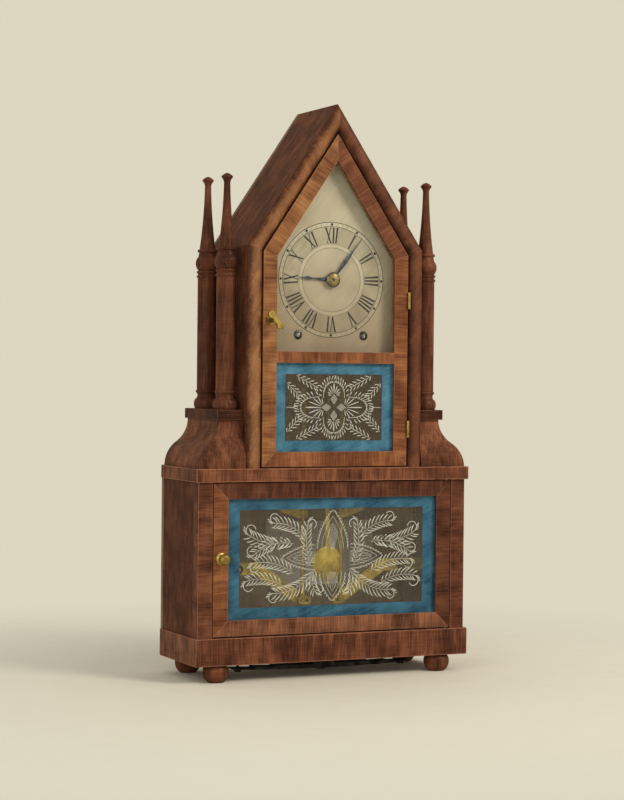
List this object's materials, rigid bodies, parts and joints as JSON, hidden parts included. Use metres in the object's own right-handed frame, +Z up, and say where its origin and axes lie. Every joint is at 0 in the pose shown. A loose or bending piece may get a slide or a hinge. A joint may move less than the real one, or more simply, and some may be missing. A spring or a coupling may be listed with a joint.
{
  "type": "steeple clock",
  "caption": "Steeple-on-steeple shelf clock with spires on columns, hinged dial door and glazed lower door, pendulum, strike and leaf-spring drive.",
  "frame": {"origin": "on the floor, under the centre of the whole clock's box", "axes": "+X to the right seen from the front, +Y towards the back, +Z up; the dial faces -Y"},
  "size_m": [0.343, 0.135, 0.6575],
  "materials": {
    "veneer": "polished crotch veneer",
    "dark_wood": "polished, dark",
    "door_wood": "polished veneer",
    "pine": "bare, aged",
    "brass": "lacquered",
    "steel": "drawn wire and sheet",
    "blued_steel": "dark blued",
    "iron": "black",
    "glass": "clear, with painted and cut borders on the tablets",
    "dial_paint": "cream paint on sheet"
  },
  "bodies": {
    "case": {"back_board": "pine", "back_plate": "brass", "bottom_board": "pine", "bun_feet": "dark_wood", "case_hinges": "brass", "cornice_board": "veneer", "dial_plate": "dial_paint", "drive_brackets": "brass", "drive_chains": "steel", "front_left_column": "veneer", "front_plate": "brass", "front_right_column": "veneer", "front_stiles": "veneer", "left_roof": "dark_wood", "left_shoulder": "veneer", "lower_left_side": "dark_wood", "lower_right_side": "dark_wood", "rake_mouldings": "veneer", "rear_left_column": "veneer", "rear_right_column": "veneer", "right_roof": "dark_wood", "right_shoulder": "veneer", "shoulder_plinths": "veneer", "skirt_boards": "veneer", "spring_clamp": "iron", "stile_mouldings": "veneer", "upper_left_side": "dark_wood", "upper_right_side": "dark_wood", "wagon_spring": "iron", "wire_gong": "steel"},
    "upper_door": {"upper_door_frame": "door_wood", "dial_glass": "glass", "upper_tablet": "glass", "hinge_door_leaves": "brass"},
    "upper_latch": {"upper_latch": "brass"},
    "lower_door": {"lower_door_frame": "door_wood", "lower_tablet": "glass"},
    "lower_latch": {"lower_latch": "brass"},
    "center": {"center_wheel": "brass", "minute_hand": "blued_steel", "hand_nut": "brass"},
    "minute_wheel": {"minute_wheel": "brass"},
    "hour": {"hour_wheel": "brass", "hour_hand": "blued_steel"},
    "second_wheel": {"second_wheel": "brass"},
    "great_wheel": {"great_wheel": "brass"},
    "third_wheel": {"third_wheel": "brass"},
    "escape_wheel": {"escape_wheel": "brass"},
    "pendulum": {"pendulum_rod": "steel", "pendulum_bob": "brass"},
    "verge": {"verge": "steel"},
    "time_drum": {"time_drum": "brass"},
    "time_rod": {"time_rod": "brass"},
    "time_lever": {"time_lever": "brass"},
    "time_link": {"time_link": "brass"},
    "strike_drum": {"strike_drum": "brass"},
    "strike_rod": {"strike_rod": "brass"},
    "strike_lever": {"strike_lever": "brass"},
    "strike_link": {"strike_link": "brass"},
    "hammer": {"hammer": "steel"}
  },
  "joints": [
    {"name": "upper_door_swing", "type": "hinge", "parent": "case", "child": "upper_door", "pos_m": [0.09185, -0.0514, 0.3595], "axis": [0, 0, 1], "range_deg": [0, 120]},
    {"name": "upper_latch_turn", "type": "hinge", "parent": "upper_door", "child": "upper_latch", "pos_m": [-0.0827, -0.0425, 0.4085], "axis": [0, -1, 0], "range_deg": [0, 90]},
    {"name": "lower_door_swing", "type": "hinge", "parent": "case", "child": "lower_door", "pos_m": [0.1452, -0.0475, 0.1385], "axis": [0, 0, 1], "range_deg": [0, 110]},
    {"name": "lower_latch_turn", "type": "hinge", "parent": "lower_door", "child": "lower_latch", "pos_m": [-0.1402, -0.043, 0.14], "axis": [0, -1, 0], "range_deg": [0, 90]},
    {"name": "minute_hand_turn", "type": "hinge", "parent": "case", "child": "center", "pos_m": [0, -0.0225, 0.4565], "axis": [0, 1, 0], "continuous": true},
    {"name": "hour_hand_turn", "type": "hinge", "parent": "case", "child": "hour", "pos_m": [0, -0.0225, 0.4565], "axis": [0, 1, 0], "continuous": true},
    {"name": "minute_wheel_turn", "type": "hinge", "parent": "case", "child": "minute_wheel", "pos_m": [0.009, -0.0225, 0.47209], "axis": [0, 1, 0], "continuous": true},
    {"name": "second_wheel_turn", "type": "hinge", "parent": "case", "child": "second_wheel", "pos_m": [0.03087, -0.0225, 0.43169], "axis": [0, 1, 0], "continuous": true},
    {"name": "great_wheel_turn", "type": "hinge", "parent": "case", "child": "great_wheel", "pos_m": [0.0415, -0.0225, 0.3928], "axis": [0, 1, 0], "continuous": true},
    {"name": "third_wheel_turn", "type": "hinge", "parent": "case", "child": "third_wheel", "pos_m": [-0.01115, -0.0225, 0.42865], "axis": [0, 1, 0], "continuous": true},
    {"name": "escape_wheel_turn", "type": "hinge", "parent": "case", "child": "escape_wheel", "pos_m": [0, -0.0225, 0.4065], "axis": [0, 1, 0], "continuous": true},
    {"name": "pendulum_swing", "type": "hinge", "parent": "case", "child": "pendulum", "pos_m": [0, -0.029, 0.4345], "axis": [0, 1, 0], "range_deg": [-3, 3]},
    {"name": "verge_rock", "type": "hinge", "parent": "case", "child": "verge", "pos_m": [0, -0.0253, 0.4275], "axis": [0, 1, 0], "range_deg": [-3.56, 3.56]},
    {"name": "time_winding", "type": "hinge", "parent": "case", "child": "time_drum", "pos_m": [0.0415, -0.0225, 0.3928], "axis": [0, 1, 0], "range_deg": [0, 78.09], "deforming": ["drive_chains", "wagon_spring"]},
    {"name": "time_rod_lift", "type": "slide", "parent": "case", "child": "time_rod", "axis": [0, 0, 1], "range_m": [0, 0.02454]},
    {"name": "time_lever_swing", "type": "hinge", "parent": "case", "child": "time_lever", "pos_m": [0.138, -0.0109, 0.124], "axis": [0, 1, 0], "range_deg": [0, 12.01]},
    {"name": "time_link_lift", "type": "slide", "parent": "case", "child": "time_link", "axis": [0, 0, 1], "range_m": [0, 0.00708]},
    {"name": "strike_winding", "type": "hinge", "parent": "case", "child": "strike_drum", "pos_m": [-0.0415, -0.0225, 0.3928], "axis": [0, -1, 0], "range_deg": [0, 78.09], "deforming": ["drive_chains", "wagon_spring"]},
    {"name": "strike_rod_lift", "type": "slide", "parent": "case", "child": "strike_rod", "axis": [0, 0, 1], "range_m": [0, 0.02454]},
    {"name": "strike_lever_swing", "type": "hinge", "parent": "case", "child": "strike_lever", "pos_m": [-0.138, -0.0109, 0.124], "axis": [0, -1, 0], "range_deg": [0, 12.01]},
    {"name": "strike_link_lift", "type": "slide", "parent": "case", "child": "strike_link", "axis": [0, 0, 1], "range_m": [0, 0.00708]},
    {"name": "hammer_swing", "type": "hinge", "parent": "case", "child": "hammer", "pos_m": [-0.012, -0.0225, 0.3785], "axis": [0, 1, 0], "range_deg": [0, 15]}
  ],
  "couplings": [
    {"joint": "minute_wheel_turn", "follows": "minute_hand_turn", "ratio": -0.33333},
    {"joint": "hour_hand_turn", "follows": "minute_hand_turn", "ratio": 0.083333},
    {"joint": "second_wheel_turn", "follows": "minute_hand_turn", "ratio": -0.22222},
    {"joint": "great_wheel_turn", "follows": "minute_hand_turn", "ratio": 0.044444},
    {"joint": "third_wheel_turn", "follows": "minute_hand_turn", "ratio": -9},
    {"joint": "escape_wheel_turn", "follows": "minute_hand_turn", "ratio": 81},
    {"joint": "verge_rock", "follows": "pendulum_swing", "ratio": 1.1522},
    {"joint": "time_rod_lift", "follows": "time_winding", "m_per_rad": 0.018},
    {"joint": "time_lever_swing", "follows": "time_winding", "ratio": 0.15367},
    {"joint": "time_link_lift", "follows": "time_winding", "m_per_rad": 0.0051867},
    {"joint": "strike_rod_lift", "follows": "strike_winding", "m_per_rad": 0.018},
    {"joint": "strike_lever_swing", "follows": "strike_winding", "ratio": 0.15367},
    {"joint": "strike_link_lift", "follows": "strike_winding", "m_per_rad": 0.0051867}
  ]
}
